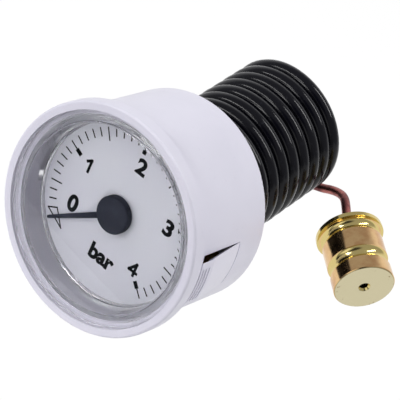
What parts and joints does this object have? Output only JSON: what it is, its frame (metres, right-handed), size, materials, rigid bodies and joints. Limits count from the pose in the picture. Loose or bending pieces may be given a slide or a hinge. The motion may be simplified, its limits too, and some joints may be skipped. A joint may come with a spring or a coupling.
{
  "type": "boiler pressure gauge",
  "caption": "Round panel-mounted boiler pressure gauge with a dial and pointer, a snap-in white case, a tightly coiled sheathed capillary and a turned brass plug.",
  "frame": {"origin": "on the gauge's axis at the back face of the bezel, where it seats on the panel", "axes": "+Y back through the panel along the barrel, +Z twelve o'clock on the dial, +X three o'clock seen from the front"},
  "size_m": [0.058, 0.0598, 0.043],
  "materials": {
    "case_plastic": "white moulded plastic, semi-gloss",
    "clear_lens": "clear plastic",
    "dial_face": "thin sheet with a matt light grey-blue face and black print",
    "pointer_plastic": "dark slate, matt",
    "brass": "plain stamped and turned brass",
    "steel": "plain steel",
    "bronze": "phosphor bronze, warm brown",
    "copper": "bare copper, dull dark red-brown",
    "sheath": "black plastic sheath, glossy",
    "plug_brass": "turned brass, bright"
  },
  "bodies": {
    "gauge": {"case": "case_plastic", "lens": "clear_lens", "dial": "dial_face", "bourdon_tube": "bronze", "socket_block": "brass", "front_plate": "brass", "back_plate": "brass", "plate_pillars": "brass", "plate_screws": "steel", "block_screws": "steel", "case_screws": "steel", "hairspring": "bronze", "hairspring_stud": "brass", "inner_capillary": "copper", "capillary_lead": "sheath", "capillary_coil": "sheath", "capillary_tail": "copper", "plug_fitting": "plug_brass"},
    "pointer_set": {"pointer": "pointer_plastic", "pinion_arbor": "brass", "hairspring_collet": "brass"},
    "sector": {"sector_gear": "brass", "sector_arbor": "steel", "tail_pin": "steel"},
    "link_piece": {"link": "brass"},
    "tube_end": {"tube_tip": "brass", "tip_pin": "steel"}
  },
  "joints": [
    {"name": "sector_turn", "type": "hinge", "parent": "gauge", "child": "sector", "pos_m": [-0.004, 0.0103, -0.01025], "axis": [0, 1, 0], "range_deg": [-26.24, 0]},
    {"name": "pointer_turn", "type": "hinge", "parent": "gauge", "child": "pointer_set", "pos_m": [0, 0.003, 0], "axis": [0, 1, 0], "range_deg": [0, 262.4], "deforming": ["hairspring"]},
    {"name": "link_turn", "type": "hinge", "parent": "sector", "child": "link_piece", "pos_m": [-0.00558, 0.00935, -0.0077], "axis": [0, 1, 0], "range_deg": [0, 26.24]},
    {"name": "tube_end_slide", "type": "slide", "parent": "gauge", "child": "tube_end", "axis": [-0.7071, 0, -0.7071], "range_m": [0, 0.00136], "stiffness_N_per_m": 1500, "deforming": ["bourdon_tube"]}
  ],
  "couplings": [
    {"joint": "sector_turn", "follows": "tube_end_slide", "rad_per_m": -336.26},
    {"joint": "link_turn", "follows": "tube_end_slide", "rad_per_m": 336.26},
    {"joint": "pointer_turn", "follows": "tube_end_slide", "rad_per_m": 3362.6}
  ]
}
